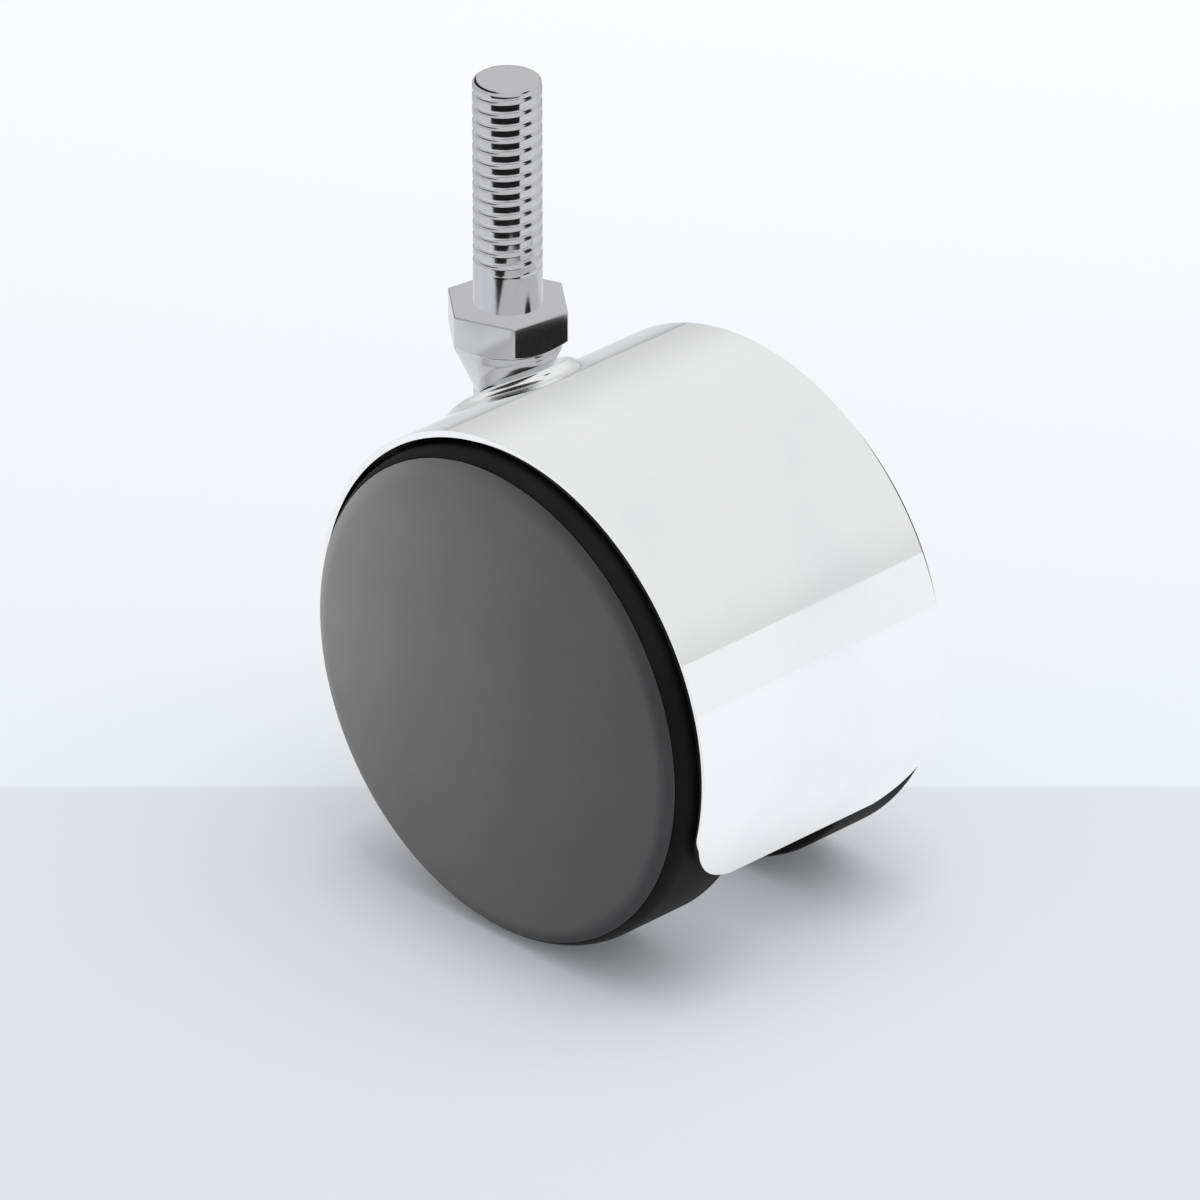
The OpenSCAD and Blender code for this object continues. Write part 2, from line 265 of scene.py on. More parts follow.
# %% Material helpers
def new_material(name):
    material = bpy.data.materials.new(name)
    material.use_nodes = True
    tree = material.node_tree
    shader = tree.nodes["Principled BSDF"]
    place = tree.nodes.new("ShaderNodeTexCoord").outputs["Object"]
    return material, tree, shader, place


def use_group(tree, group, place, **values):
    node = tree.nodes.new("ShaderNodeGroup")
    node.node_tree = group
    tree.links.new(place, node.inputs["Vector"])
    for label, value in values.items():
        node.inputs[label.replace("_", " ")].default_value = value
    return node.outputs


def add_bump(tree, shader, height, strength, distance):
    bump = tree.nodes.new("ShaderNodeBump")
    bump.inputs["Strength"].default_value = strength
    bump.inputs["Distance"].default_value = distance
    tree.links.new(height, bump.inputs["Height"])
    tree.links.new(bump.outputs["Normal"], shader.inputs["Normal"])


PLASTIC_BUMP, METAL_BUMP = 0.35, 0.15


def plastic(name, dark, light, rough_lo, rough_hi, grain_scale, grain_depth):
    material, tree, shader, place = new_material(name)
    effect = use_group(tree, moulded_grain, place, Grain_Scale=grain_scale, Mottle_Scale=90.0)
    colour = mix_colour(tree, effect["Mottle"], (*dark, 1), (*light, 1))
    tree.links.new(colour, shader.inputs["Base Color"])
    rough = map_range(tree, effect["Mottle"], 0.0, 1.0, rough_lo, rough_hi)
    tree.links.new(rough, shader.inputs["Roughness"])
    add_bump(tree, shader, effect["Grain"], PLASTIC_BUMP, grain_depth)
    return material


def metal(name, dull, bright, rough_lo, rough_hi, fine_depth):
    material, tree, shader, place = new_material(name)
    shader.inputs["Metallic"].default_value = 1.0
    effect = use_group(tree, handled_metal, place, Smudge_Scale=70.0, Fine_Scale=1800.0)
    colour = mix_colour(tree, effect["Smudge"], (*bright, 1), (*dull, 1))
    tree.links.new(colour, shader.inputs["Base Color"])
    rough = map_range(tree, effect["Smudge"], 0.0, 1.0, rough_lo, rough_hi)
    tree.links.new(rough, shader.inputs["Roughness"])
    add_bump(tree, shader, effect["Fine"], METAL_BUMP, fine_depth)
    return material


# %% Make the finishes
chrome_hood = metal("chrome_hood", (0.84, 0.85, 0.86), (0.88, 0.885, 0.89), 0.035, 0.07,
                    0.002 * MM)
plated_stem = metal("plated_stem", (0.54, 0.54, 0.55), (0.6, 0.6, 0.61), 0.1, 0.16, 0.004 * MM)
ground_steel = metal("ground_steel", (0.52, 0.52, 0.53), (0.62, 0.62, 0.63), 0.2, 0.32, 0.01 * MM)
spring_steel = metal("spring_steel", (0.17, 0.17, 0.18), (0.24, 0.24, 0.25), 0.28, 0.42, 0.01 * MM)
core_plastic = plastic("core_plastic", (0.022, 0.022, 0.024), (0.032, 0.032, 0.035), 0.5, 0.6,
                       2500.0, 0.05 * MM)
wheel_plastic = plastic("wheel_plastic", (0.011, 0.011, 0.0113), (0.015, 0.015, 0.0153), 0.6, 0.7,
                        2500.0, 0.05 * MM)
wheel_plastic.node_tree.nodes["Principled BSDF"].inputs["Specular IOR Level"].default_value = 0.06
cover_plastic = plastic("cover_plastic", (0.112, 0.112, 0.113), (0.124, 0.124, 0.125), 0.6, 0.7,
                        3200.0, 0.04 * MM)
cover_plastic.node_tree.nodes["Principled BSDF"].inputs["Specular IOR Level"].default_value = 0.1
bearing_plastic = plastic("bearing_plastic", (0.5, 0.48, 0.42), (0.58, 0.56, 0.5), 0.4, 0.5,
                          1500.0, 0.03 * MM)
print("finishes", [material.name for material in bpy.data.materials])

# %% [markdown]
# Two of the metals also change from place to place. The chrome is softer on the near side of the
# collar, where its tight bend would otherwise show thin bright lines. The stem carries painted
# shade: its shank and the hexagon's top face are coloured a shade darker than the hexagon's sides,
# for the darker reflection seen there. Each change comes from where a point lies on its piece.

# %% Vary the metals by place
COLLAR_ROUGH = 0.16
# Painted shade: the darker tone given to the hexagon's top face and the shank.
PAINTED_TOP_SHADE = (0.54, 0.54, 0.555, 1)


def open_finish(material):
    tree = material.node_tree
    split = tree.nodes.new("ShaderNodeSeparateXYZ")
    tree.links.new(tree.nodes.new("ShaderNodeTexCoord").outputs["Object"], split.inputs[0])
    return tree, tree.nodes["Principled BSDF"], split.outputs


tree, shader, spot = open_finish(chrome_hood)
across_stem = math_node(tree, "MULTIPLY", spot["Y"], spot["Y"])
stem_square = math_node(tree, "MULTIPLY_ADD", spot["X"], spot["X"], across_stem)
from_stem = math_node(tree, "SQRT", stem_square)
near_collar = map_range(tree, from_stem, 9 * MM, 11 * MM, 1.0, 0.0, True)
near_side = map_range(tree, spot["Y"], -4 * MM, -1 * MM, COLLAR_ROUGH, 0.0, True)
plain_rough = shader.inputs["Roughness"].links[0].from_socket
soft_rough = math_node(tree, "MULTIPLY_ADD", near_collar, near_side, plain_rough)
tree.links.new(soft_rough, shader.inputs["Roughness"])

tree, shader, spot = open_finish(plated_stem)
# Painted shade: above this height, on the hexagon's top face and the shank, the plate is coloured
# darker.
painted_top_shade_mask = map_range(tree, spot["Z"], -0.3 * MM, -0.1 * MM, 0.0, 1.0)
plate_colour = shader.inputs["Base Color"].links[0].from_socket
tree.links.new(mix_colour(tree, painted_top_shade_mask, plate_colour, PAINTED_TOP_SHADE), shader.inputs["Base Color"])
print("varied by place", chrome_hood.name, plated_stem.name)

# %% [markdown]
# ## Wheel covers
# The outer face of each wheel is a plain grey disc, set in a black tyre. Disc and tyre share one
# large round between the face and the tread, and a fine groove on that round parts the two
# colours. A disc is the simplest turned part: the profile starts on the axle, runs out over the
# face and part of the round, turns in at the groove and comes back along the hidden inside. A
# Screw modifier would turn a drawn profile too. In code, the profile follows the measured sizes.

# %% Turn the covers
face_round = 3 * MM
seam_y = face_y - face_round - 0.4 * MM
cover_t = 1.8 * MM
cover_in_y = face_y - cover_t
spigot_end_y = seam_y - 1.5 * MM
rim_in_r = wheel_r - 4.6 * MM
spigot_r = rim_in_r - 0.05 * MM
hollow_r = spigot_r - 1.2 * MM
WHEEL_STEPS = 160
GROOVE_DEG, GROOVE_HALF_DEG = 45, 0.5
GROOVE_ROUND = 0.06 * MM
FACE_RINGS = 6


def round_arc(from_deg, to_deg, steps):
    """Points over the round, from 0 degrees at the tread to 90 degrees at the face."""
    arc = []
    for k in range(steps + 1):
        turn = math.radians(from_deg + (to_deg - from_deg) * k / steps)
        arc.append((wheel_r - face_round * (1 - math.cos(turn)),
                    face_y - face_round * (1 - math.sin(turn)), 0))
    return arc


for label, side in SIDES.items():
    face_rings = [((wheel_r - face_round) * k / FACE_RINGS, face_y, 0) for k in range(FACE_RINGS)]
    edge = round_arc(90, GROOVE_DEG + GROOVE_HALF_DEG, 10)
    profile = rounded_profile(face_rings + edge[:-1] + [
        (*edge[-1][:2], GROOVE_ROUND),
        (wheel_r - 1.5 * MM, cover_in_y + 0.25 * MM, 0),
        (spigot_r, cover_in_y + 0.1 * MM, 0),
        (spigot_r, spigot_end_y, 0.2 * MM),
        (hollow_r, spigot_end_y, 0.2 * MM),
        (hollow_r, cover_in_y, 0.4 * MM),
        (0, cover_in_y, 0),
    ])
    cover = turn_on_axle(f"{label}_cover_disc", profile, side, WHEEL_STEPS)
    finish_piece(cover, f"{label}_wheel_set", "cover_plastic", cover_plastic, f"{label}_wheel_cover")

# %% [markdown]
# ## Wheels
# Behind each cover sits the moulded wheel: a tyre and rim, a web and a hub. They share one closed
# profile that is turned on the axle, and the tyre runs up the round to the groove.

# %% Turn the wheels
hub_r = 7 * MM
hub_in_r = 4.07 * MM
tail_gap, axle_tail, clip_t, end_gap = 0.6 * MM, 1.15 * MM, 0.7 * MM, 0.1 * MM
hub_end_y = cover_in_y - (tail_gap + axle_tail + clip_t + end_gap)
web_start_y = wheel_y + (hub_end_y - wheel_y) / 2
web_t = 2 * MM
web_end_y = web_start_y + web_t
WEB_ROUND = 0.8 * MM

tyre = round_arc(0, GROOVE_DEG - GROOVE_HALF_DEG, 8)
wheel_corners = [
    (hub_in_r, wheel_y, 0),
    (hub_r, wheel_y, 0.3 * MM),
    (hub_r, web_start_y, WEB_ROUND),
    (rim_in_r, web_start_y, WEB_ROUND),
    (rim_in_r, wheel_y, 0.5 * MM),
    (wheel_r, wheel_y, 0.6 * MM),
    *tyre[:-1],
    (*tyre[-1][:2], GROOVE_ROUND),
    (wheel_r - 1.3 * MM, cover_in_y, 0),
    (rim_in_r, cover_in_y, 0.2 * MM),
    (rim_in_r, web_end_y, WEB_ROUND),
    (hub_r, web_end_y, WEB_ROUND),
    (hub_r, hub_end_y, 0.3 * MM),
    (hub_in_r, hub_end_y, 0.2 * MM),
    (hub_in_r, wheel_y, 0),
]
for label, side in SIDES.items():
    wheel = turn_on_axle(f"{label}_wheel_rim", rounded_profile(wheel_corners), side, WHEEL_STEPS)
    finish_piece(wheel, f"{label}_wheel_set", "wheel_plastic", wheel_plastic, f"{label}_wheel")

# %% [markdown]
# ## Wheel ribs
# Eight ribs stiffen each web from the inside. An Array modifier with a turned empty could repeat
# one rib, but a repeated shape is a job for Geometry Nodes: one rib is placed on each point of a
# circle and turned to face the hub. The tree has named inputs, so the number of ribs or their
# thickness can change without touching the code around it.

# %% Geometry Nodes helpers
def new_geometry_tree(name, inputs):
    tree = bpy.data.node_groups.new(name, "GeometryNodeTree")
    names = {}
    for label, kind in inputs:
        socket = tree.interface.new_socket(name=label, in_out="INPUT", socket_type=kind)
        names[label] = socket.identifier
    tree.interface.new_socket(name="Geometry", in_out="OUTPUT", socket_type="NodeSocketGeometry")
    start = tree.nodes.new("NodeGroupInput")
    return tree, start.outputs, names


def add_node(tree, kind, **values):
    node = tree.nodes.new(kind)
    for label, value in values.items():
        link_or_set(tree, node.inputs[label.replace("_", " ")], value)
    return node


def combine(tree, x, y, z):
    return add_node(tree, "ShaderNodeCombineXYZ", X=x, Y=y, Z=z).outputs[0]


def close_tree(tree, geometry, material):
    real = tree.nodes.new("GeometryNodeRealizeInstances")
    painted = tree.nodes.new("GeometryNodeSetMaterial")
    end = tree.nodes.new("NodeGroupOutput")
    tree.links.new(geometry, real.inputs["Geometry"])
    tree.links.new(real.outputs["Geometry"], painted.inputs["Geometry"])
    tree.links.new(material, painted.inputs["Material"])
    tree.links.new(painted.outputs["Geometry"], end.inputs["Geometry"])


def grow(name, tree, names, values):
    piece = bpy.data.objects.new(name, bpy.data.meshes.new(name))
    bpy.context.scene.collection.objects.link(piece)
    modifier = piece.modifiers.new("Grow", "NODES")
    modifier.node_group = tree
    for label, value in values.items():
        modifier[names[label]] = value
    depsgraph = bpy.context.evaluated_depsgraph_get()
    mesh = bpy.data.meshes.new_from_object(piece.evaluated_get(depsgraph))
    piece.modifiers.clear()
    piece.data = mesh
    mesh.name = name
    work = bmesh.new()
    work.from_mesh(mesh)
    bmesh.ops.recalc_face_normals(work, faces=work.faces)
    work.to_mesh(mesh)
    work.free()
    mesh.shade_smooth()
    return piece


# %% Rib tree
rib_tree, rib_in, rib_names = new_geometry_tree("Wheel ribs", [
    ("Count", "NodeSocketInt"), ("Length", "NodeSocketFloat"), ("Thickness", "NodeSocketFloat"),
    ("Height", "NodeSocketFloat"), ("Radius", "NodeSocketFloat"), ("Place", "NodeSocketVector"),
    ("Material", "NodeSocketMaterial")])
rib_size = combine(rib_tree, rib_in["Length"], rib_in["Height"], rib_in["Thickness"])
one_rib = add_node(rib_tree, "GeometryNodeMeshCube", Size=rib_size)
rib_line = add_node(rib_tree, "GeometryNodeMeshLine", Count=rib_in["Count"])
number = rib_tree.nodes.new("GeometryNodeInputIndex").outputs[0]
share = math_node(rib_tree, "DIVIDE", number, rib_in["Count"])
rib_angle = math_node(rib_tree, "MULTIPLY", share, 2 * math.pi)
rib_x = math_node(rib_tree, "MULTIPLY", rib_in["Radius"], math_node(rib_tree, "COSINE", rib_angle))
rib_z = math_node(rib_tree, "MULTIPLY", rib_in["Radius"], math_node(rib_tree, "SINE", rib_angle))
spread = add_node(rib_tree, "GeometryNodeSetPosition", Geometry=rib_line.outputs["Mesh"],
                  Position=combine(rib_tree, rib_x, 0.0, rib_z))
rib_turn = combine(rib_tree, 0.0, math_node(rib_tree, "MULTIPLY", rib_angle, -1.0), 0.0)
placed = add_node(rib_tree, "GeometryNodeInstanceOnPoints", Points=spread.outputs["Geometry"],
                  Instance=one_rib.outputs["Mesh"], Rotation=rib_turn)
moved = add_node(rib_tree, "GeometryNodeTransform", Geometry=placed.outputs["Instances"],
                 Translation=rib_in["Place"])
close_tree(rib_tree, moved.outputs["Geometry"], rib_in["Material"])

# %% Grow the ribs
RIB_COUNT = 8
RIB_SINK = 0.4 * MM
rib_start_y = wheel_y + 1 * MM
rib_len = rim_in_r - hub_r + 2 * RIB_SINK
rib_h = web_start_y - rib_start_y + RIB_SINK
for label, side in SIDES.items():
    ribs = grow(f"{label}_wheel_ribs", rib_tree, rib_names, {
        "Count": RIB_COUNT, "Length": rib_len, "Thickness": 1.6 * MM, "Height": rib_h,
        "Radius": (rim_in_r + hub_r) / 2,
        "Place": axle + Vector((0, side * (rib_start_y + rib_h / 2), 0)),
        "Material": wheel_plastic})
    round_edges(ribs, 0.3 * MM)
    finish_piece(ribs, f"{label}_wheel_set", "wheel_plastic", wheel_plastic)

# %% [markdown]
# ## The threaded stem
# A rolled thread follows a rule: at every turn of the stem the groove climbs by one pitch. A grid
# of points is wrapped round the stem, and the radius of each point comes from its height and its
# angle. The same grid runs on over the tip and under the foot to a point, so the shank is closed. A
# Screw modifier could sweep the groove, but not fade it out at the foot and round it off at the tip.

# %% Thread tree
thread_tree, thr, thread_names = new_geometry_tree("Rolled thread", [
    ("Columns", "NodeSocketInt"), ("Rows", "NodeSocketInt"), ("Pitch", "NodeSocketFloat"),
    ("Crest Radius", "NodeSocketFloat"), ("Depth", "NodeSocketFloat"), ("Foot", "NodeSocketFloat"),
    ("Tip", "NodeSocketFloat"), ("Thread Start", "NodeSocketFloat"),
    ("Fade", "NodeSocketFloat"), ("Crest Share", "NodeSocketFloat"),
    ("Tip Round", "NodeSocketFloat"),
    ("Material", "NodeSocketMaterial")])


def thread_math(operation, *values):
    return math_node(thread_tree, operation, *values)


sheet = add_node(thread_tree, "GeometryNodeMeshGrid", Size_X=1.0, Size_Y=1.0)
thread_tree.links.new(thread_math("ADD", thr["Columns"], 1.0), sheet.inputs["Vertices X"])
thread_tree.links.new(thr["Rows"], sheet.inputs["Vertices Y"])
spot = thread_tree.nodes.new("ShaderNodeSeparateXYZ")
thread_tree.links.new(thread_tree.nodes.new("GeometryNodeInputPosition").outputs[0], spot.inputs[0])
turns = thread_math("ADD", spot.outputs["X"], 0.5)
way = thread_math("ADD", spot.outputs["Y"], 0.5)
tip_r = thread_math("SUBTRACT", thr["Crest Radius"], thr["Tip Round"])
path_start = thread_math("SUBTRACT", thr["Foot"], thr["Crest Radius"])
path_end = thread_math("ADD", thr["Tip"], tip_r)
path = map_range(thread_tree, way, 0.0, 1.0, path_start, path_end)
height = thread_math("MINIMUM", thread_math("MAXIMUM", path, thr["Foot"]), thr["Tip"])
inset = thread_math("ABSOLUTE", thread_math("SUBTRACT", path, height))

# %% Radius rule
climb = thread_math("SUBTRACT", thread_math("DIVIDE", height, thr["Pitch"]), turns)
wave = thread_math("ABSOLUTE", thread_math("MULTIPLY_ADD", thread_math("FRACT", climb), 2.0, -1.0))
groove = map_range(thread_tree, wave, thr["Crest Share"], 1.0, 0.0, 1.0, True)
fade_in = map_range(thread_tree, height, thr["Thread Start"],
                    thread_math("ADD", thr["Thread Start"], thr["Fade"]), 0.0, 1.0, True)
cut = thread_math("MULTIPLY", thread_math("MULTIPLY", groove, thr["Depth"]), fade_in)
thread_r = thread_math("SUBTRACT", thr["Crest Radius"], cut)
round_start = thread_math("SUBTRACT", thr["Tip"], thr["Tip Round"])
above = thread_math("DIVIDE", thread_math("SUBTRACT", height, round_start), thr["Tip Round"])
above = thread_math("MINIMUM", thread_math("MAXIMUM", above, 0.0), 1.0)
bulge = thread_math("SQRT", thread_math("SUBTRACT", 1.0, thread_math("MULTIPLY", above, above)))
round_r = thread_math("MULTIPLY_ADD", bulge, thr["Tip Round"], tip_r)
outer_r = thread_math("MINIMUM", thread_r, round_r)
shank_r = thread_math("MAXIMUM", thread_math("SUBTRACT", outer_r, inset), 0.0)
thread_angle = thread_math("MULTIPLY", turns, 2 * math.pi)
thread_x = thread_math("MULTIPLY", shank_r, thread_math("COSINE", thread_angle))
thread_y = thread_math("MULTIPLY", shank_r, thread_math("SINE", thread_angle))
wrapped = add_node(thread_tree, "GeometryNodeSetPosition", Geometry=sheet.outputs["Mesh"],
                   Position=combine(thread_tree, thread_x, thread_y, height))
closed = add_node(thread_tree, "GeometryNodeMergeByDistance", Geometry=wrapped.outputs["Geometry"],
                  Distance=0.001 * MM)
close_tree(thread_tree, closed.outputs["Geometry"], thr["Material"])

# %% Grow the thread
stem_r = frame["record"]["mounts"][0]["dims"]["r_mm"] * MM
hex_h = 4.4 * MM
thread = grow("stem_thread", thread_tree, thread_names, {
    "Columns": 84, "Rows": 520, "Pitch": 1.6 * MM, "Crest Radius": stem_r,
    "Depth": 0.42 * MM, "Foot": -hex_h / 2, "Tip": stem_len, "Thread Start": 4.6 * MM,
    "Fade": 1.4 * MM, "Crest Share": 0.5, "Tip Round": 0.5 * MM, "Material": plated_stem})
thread.visible_glossy = False
finish_piece(thread, "stem", "plated_stem", plated_stem)

# %% [markdown]
# Below the shank the stem has its hexagon, a short collar, a tapered neck and the swivel pin.
# They are turned too, but the hexagon's radius changes round the axis, and a cone cuts its lower
# corners, so each ring of points has its own height rule. Like the thread, this piece is hidden
# from reflections, because the photographed hood shows no image of the stem.

# %% Turn the hexagon and the pin
HEX_STEPS = 72
hex_flat = 6.5 * MM
hex_turn = math.radians(22)
hex_round_r = hex_flat - 0.2 * MM
chamfer_slope = math.tan(math.radians(30))
stub_r = 6.2 * MM
stub_z = -hex_h - 1.2 * MM
neck_z = stub_z - 5 * MM
pin_r = 4 * MM
groove_r = pin_r - 0.6 * MM
pin_tail, ring_t, groove_play = 1.6 * MM, 1 * MM, 0.05 * MM
groove_top_z = pin_end_z + pin_tail + ring_t + groove_play
groove_end_z = pin_end_z + pin_tail - groove_play
pin_chamfer = 0.5 * MM


def hexagon_r(angle):
    sector = math.radians(60)
    off = (angle - hex_turn) % sector - sector / 2
    return hex_flat / math.cos(off)


points, faces = [], []
for i in range(HEX_STEPS):
    angle = hex_turn + 2 * math.pi * i / HEX_STEPS
    corner_r = hexagon_r(angle)
    chamfer_z = -hex_h + (corner_r - hex_round_r) * chamfer_slope
    rings = [(0, 0), (stem_r, 0), (corner_r, 0), (corner_r, chamfer_z), (hex_round_r, -hex_h),
             (stub_r, stub_z), (pin_r, neck_z), (pin_r, groove_top_z),
             (groove_r, groove_top_z), (groove_r, groove_end_z), (pin_r, groove_end_z),
             (pin_r, pin_end_z + pin_chamfer), (pin_r - pin_chamfer, pin_end_z), (0, pin_end_z)]
    count = len(rings)
    points += [Vector((r * math.cos(angle), r * math.sin(angle), z)) for r, z in rings]
    for k in range(count - 1):
        a, b = i * count + k, (i + 1) % HEX_STEPS * count + k
        faces.append((a, a + 1, b + 1, b))
turned = make_piece("stem_hexagon", points, faces)
round_edges(turned, 0.12 * MM, 2, 20)
turned.visible_glossy = False
finish_piece(turned, "stem", "plated_stem", plated_stem, "threaded_stem")

# %% [markdown]
# ## The hood
# The hood is one thin chromed shell, bent round the wheels, with round corners and a raised
# collar round the stem. A bent plane with a Solidify modifier would be quick to make, but chrome
# shows every dent that a cut hole leaves in it. So the shell is a regular grid along the bend and
# across it, and only the patch round the collar and the two snap slots is filled with triangles.
# Both sides of the sheet are made, then joined.

# %% Sizes of the hood
hood_t = 0.8 * MM
CORNER_EASE = 1 / 50
front_edge, front_corner_r = math.radians(171), 2.5 * MM
rear_edge, rear_corner_r = math.radians(-27.5), 10 * MM
collar_r = 7.5 * MM
collar_rise = 1 * MM
neck_gap = 0.4 * MM


def sheet_point(turn, y, depth):
    """Point on the sheet at an angle round the axle, at y along it, and below its outer side."""
    r = hood_r - depth
    return axle + Vector((r * math.cos(turn), y, r * math.sin(turn)))


# %% Rows along the bend and columns across it
BEND_STEPS = 180
HALF_COLUMNS = 20


def corner_start(edge, end, radius):
    return edge - end * math.asin(radius * (1 - CORNER_EASE) / hood_r)


def corner_rows(start, end, radius, steps):
    rows = []
    for k in range(1, steps + 1):
        part = math.asin(1 - CORNER_EASE) * k / steps
        turn = start + end * math.asin(radius * math.sin(part) / hood_r)
        y = hood_half_w - radius * (1 - CORNER_EASE - math.cos(part))
        rows.append((turn, min(y, hood_half_w)))
    return rows


first_turn = corner_start(rear_edge, -1, rear_corner_r)
last_turn = corner_start(front_edge, 1, front_corner_r)
bend_rows = [(first_turn + (last_turn - first_turn) * k / BEND_STEPS, hood_half_w)
             for k in range(BEND_STEPS + 1)]
rows = corner_rows(first_turn, -1, rear_corner_r, 24)[::-1]
rows += bend_rows + corner_rows(last_turn, 1, front_corner_r, 10)
columns = [hood_half_w * k / HALF_COLUMNS for k in range(-HALF_COLUMNS, HALF_COLUMNS + 1)]
sheet_places = [[(turn, c * limit / hood_half_w) for c in columns] for turn, limit in rows]
print("hood grid", len(rows), "rows", len(columns), "columns")

# %% [markdown]
# The collar is round about the stem, not about the bend, so its ring is found by looking straight
# down the stem. The patch is filled on the flat unrolled sheet, where a constrained triangulation
# keeps the ring and the slots as edges.

# %% Rings and slots on the sheet
RING_STEPS = 120
PATCH_FROM, PATCH_TO = math.radians(103), math.radians(168.6)
PATCH_W = 13.5 * MM
COLLAR_FOOT, COLLAR_BROW, COLLAR_HALF = 2 * MM, 1 * MM, 0.5 * MM
MOUTH_ROUND = 0.3 * MM
slot_turn = front_edge - math.radians(7.5)
slot_y = 4 * MM
SLOT_ROUND_STEPS = 4


def ring_place(r, angle, shell_r):
    x = r * math.cos(angle) - axle.x
    return math.acos(x / shell_r), r * math.sin(angle)


def ring_height(r, angle, shell_r):
    x = r * math.cos(angle) - axle.x
    return axle.z + math.sqrt(shell_r * shell_r - x * x)


def hole_r(angle, shell_r):
    """Radius of the stem hole in a shell, which keeps its gap to the tapered neck."""
    r = pin_r
    for _ in range(60):
        part = (ring_height(r, angle, shell_r) - neck_z) / (stub_z - neck_z)
        r = pin_r + (stub_r - pin_r) * min(max(part, 0), 1) + neck_gap
    return r


def slot_loop(side, shell_r):
    half_len, half_w, round_r = 1.7 * MM, 2.2 * MM, 0.5 * MM
    loop = []
    for quarter in range(4):
        for k in range(SLOT_ROUND_STEPS + 1):
            angle = math.pi / 2 * (quarter + k / SLOT_ROUND_STEPS)
            u = (half_len - round_r) * (1 if quarter in (0, 3) else -1) + round_r * math.cos(angle)
            v = (half_w - round_r) * (1 if quarter in (0, 1) else -1) + round_r * math.sin(angle)
            loop.append((slot_turn + math.asin(u / shell_r), side * slot_y + v))
    return loop


def collar_profile(angle):
    """Heights from the hood over the collar and down its hole, at one angle round the stem."""
    def blend(start, corner, end, steps=5):
        return [start.lerp(corner, k / steps).lerp(corner.lerp(end, k / steps), k / steps)
                for k in range(steps + 1)]

    def on_shell(r, shell_r):
        return Vector((r, ring_height(r, angle, shell_r)))

    def step_along(r, shell_r, length):
        slope = (on_shell(r + 0.05 * MM, shell_r) - on_shell(r, shell_r)).normalized()
        return on_shell(r + slope.x * length, shell_r)

    top_r = hood_r + collar_rise
    mouth_r = hole_r(angle, top_r)
    foot_r, brow_r = collar_r + COLLAR_HALF, collar_r - COLLAR_HALF
    foot, brow, mouth = on_shell(foot_r, hood_r), on_shell(brow_r, top_r), on_shell(mouth_r, top_r)
    low = on_shell(hole_r(angle, hood_r - hood_t), hood_r - hood_t)
    path = blend(step_along(foot_r, hood_r, COLLAR_FOOT), foot, foot.lerp(brow, 0.5), 24)
    rim = step_along(brow_r, top_r, -min(COLLAR_BROW, 0.8 * (brow_r - mouth_r - MOUTH_ROUND)))
    path += blend(foot.lerp(brow, 0.5), brow, rim, 16)[1:]
    flat_w = mouth_r + MOUTH_ROUND - rim.x
    path += [on_shell(rim.x + flat_w * part, top_r) for part in (0.25, 0.5, 0.75)]
    down = mouth + (low - mouth).normalized() * MOUTH_ROUND
    path += blend(step_along(mouth_r, top_r, MOUTH_ROUND), mouth, down)
    path += [low]
    return path


# %% Fill one side of the sheet
def inside(place, loop):
    hit = False
    for (ax, ay), (bx, by) in zip(loop, loop[1:] + loop[:1]):
        if (ay > place[1]) != (by > place[1]):
            if place[0] < ax + (bx - ax) * (place[1] - ay) / (by - ay):
                hit = not hit
    return hit


def flat(place):
    return Vector((place[0] * hood_r, place[1]))


def fill_patch(edge_loop, holes, inner_places):
    """Triangles between the patch's edge and its holes; places are numbered edge, holes, inner."""
    loops = [edge_loop] + holes
    places = [p for loop in loops for p in loop]
    wires, start = [], 0
    for loop in loops:
        wires += [(start + k, start + (k + 1) % len(loop)) for k in range(len(loop))]
        start += len(loop)
    hole_points = [flat(p) for loop in holes for p in loop]
    spacing = 0.5 * MM
    for place in inner_places:
        clear = all((flat(place) - p).length > spacing for p in hole_points)
        if clear and not any(inside(place, hole) for hole in holes):
            places.append(place)
    found = delaunay_2d_cdt([flat(p) for p in places], wires, [], 0, 1e-9, True)
    triangles = []
    for face in found[2]:
        ids = [found[3][v][0] for v in face]
        middle = [sum(places[i][axis] for i in ids) / 3 for axis in (0, 1)]
        if inside(middle, edge_loop) and not any(inside(middle, hole) for hole in holes):
            triangles.append(ids)
    return places, triangles


# %% Build the two sides and join them
row_from = min(i for i, (turn, limit) in enumerate(rows) if turn >= PATCH_FROM)
row_to = max(i for i, (turn, limit) in enumerate(rows) if turn <= PATCH_TO)
column_from = min(j for j, c in enumerate(columns) if c >= -PATCH_W)
column_to = len(columns) - 1 - column_from
edge_ids = [(row_from, j) for j in range(column_from, column_to)]
edge_ids += [(i, column_to) for i in range(row_from, row_to)]
edge_ids += [(row_to, j) for j in range(column_to, column_from, -1)]
edge_ids += [(i, column_from) for i in range(row_to, row_from, -1)]
inner_ids = [(i, j) for i in range(row_from + 1, row_to) for j in range(column_from + 1, column_to)]
ring_angles = [2 * math.pi * k / RING_STEPS for k in range(RING_STEPS)]
ring_paths = [collar_profile(angle) for angle in ring_angles]

points, faces = [], []


